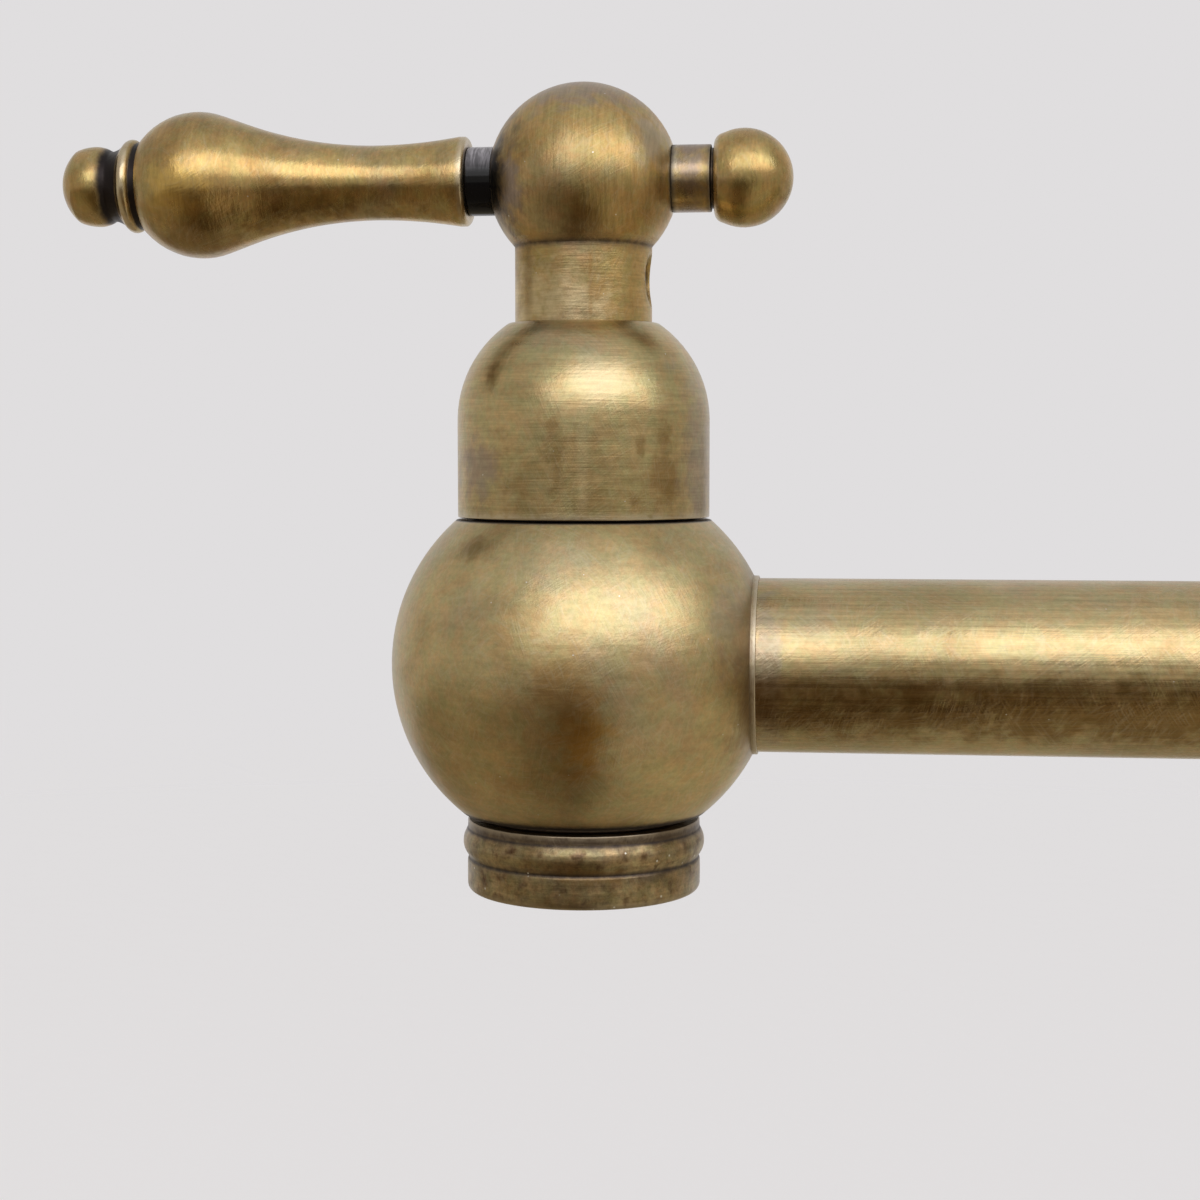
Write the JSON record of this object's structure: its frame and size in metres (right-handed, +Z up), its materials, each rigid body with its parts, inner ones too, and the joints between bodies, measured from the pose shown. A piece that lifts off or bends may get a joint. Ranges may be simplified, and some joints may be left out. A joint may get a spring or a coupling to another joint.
{
  "type": "wall mounted pot filler",
  "caption": "Double-jointed folding kitchen tap that reaches out from a wall on two tube arms, with ball bodies, domed bonnets and turned quarter-turn levers.",
  "frame": {"origin": "centre of the wall flange's back face, on the axis of the water inlet", "axes": "+Y into the wall along the inlet, -Y out into the room, +Z up, +X to the right as seen from the room"},
  "size_m": [0.3313, 0.3832, 0.1565],
  "materials": {
    "aged_brass": "brushed and darkened with age, with soft golden highlights",
    "bare_brass": "machined, unpolished",
    "black_collar": "black, glossy",
    "steel": "stainless steel",
    "ceramic": "lapped white alumina",
    "black_rubber": "black nitrile rubber",
    "white_washer": "white low-friction plastic",
    "fibre_washer": "red-brown pressed fibre",
    "moulded_insert": "pale grey acetal"
  },
  "bodies": {
    "wall_end": {"wall_flange": "aged_brass", "flange_ring": "black_rubber", "wall_adapter": "bare_brass", "union_washer": "fibre_washer", "union_nut": "bare_brass", "inlet_tail": "aged_brass", "wall_valve_ball": "aged_brass", "wall_cartridge_body": "bare_brass", "wall_base_seal": "black_rubber", "wall_fixed_disc": "ceramic", "wall_bonnet": "aged_brass", "wall_swivel_post": "bare_brass", "wall_swivel_rings": "black_rubber", "wall_swivel_collar": "aged_brass", "wall_swivel_thrust_washer": "white_washer", "wall_swivel_retaining_screw": "steel"},
    "wall_handle": {"wall_moving_disc": "ceramic", "wall_spindle": "bare_brass", "wall_spindle_rings": "black_rubber", "wall_spindle_clip": "steel", "wall_hub": "aged_brass", "wall_grub_screw": "steel", "wall_lever_stud": "steel", "wall_lever_collar": "black_collar", "wall_lever": "aged_brass", "wall_finial": "aged_brass"},
    "arm_1": {"arm_1_wall_ball": "aged_brass", "wall_swivel_cap": "aged_brass", "wall_swivel_finial": "aged_brass", "arm_1_tube": "aged_brass", "arm_1_elbow_ball": "aged_brass", "elbow_swivel_post": "bare_brass", "elbow_swivel_rings": "black_rubber", "elbow_swivel_collar": "aged_brass", "elbow_swivel_thrust_washer": "white_washer", "elbow_swivel_retaining_screw": "steel"},
    "arm_2": {"arm_2_elbow_ball": "aged_brass", "elbow_swivel_cap": "aged_brass", "elbow_swivel_finial": "aged_brass", "arm_2_tube": "aged_brass", "outlet_valve_ball": "aged_brass", "outlet_cartridge_body": "bare_brass", "outlet_base_seal": "black_rubber", "outlet_fixed_disc": "ceramic", "outlet_bonnet": "aged_brass", "aerator_washer": "black_rubber", "aerator_screen": "steel", "aerator_insert": "moulded_insert", "aerator_housing": "aged_brass"},
    "outlet_handle": {"outlet_moving_disc": "ceramic", "outlet_spindle": "bare_brass", "outlet_spindle_rings": "black_rubber", "outlet_spindle_clip": "steel", "outlet_hub": "aged_brass", "outlet_grub_screw": "steel", "outlet_lever_stud": "steel", "outlet_lever_collar": "black_collar", "outlet_lever": "aged_brass", "outlet_finial": "aged_brass"}
  },
  "joints": [
    {"name": "wall_lever", "type": "hinge", "parent": "wall_end", "child": "wall_handle", "pos_m": [0, -0.075, 0.0554], "axis": [0, 0, 1], "range_deg": [0, 90]},
    {"name": "arm_1_swing", "type": "hinge", "parent": "wall_end", "child": "arm_1", "pos_m": [0, -0.075, -0.044], "axis": [0, 0, 1], "range_deg": [-90, 90]},
    {"name": "arm_2_swing", "type": "hinge", "parent": "arm_1", "child": "arm_2", "pos_m": [0, -0.345, 0], "axis": [0, 0, -1], "range_deg": [-245, 65]},
    {"name": "outlet_lever", "type": "hinge", "parent": "arm_2", "child": "outlet_handle", "pos_m": [-0.24, -0.345, 0.0554], "axis": [0, 0, 1], "range_deg": [0, 90]}
  ]
}
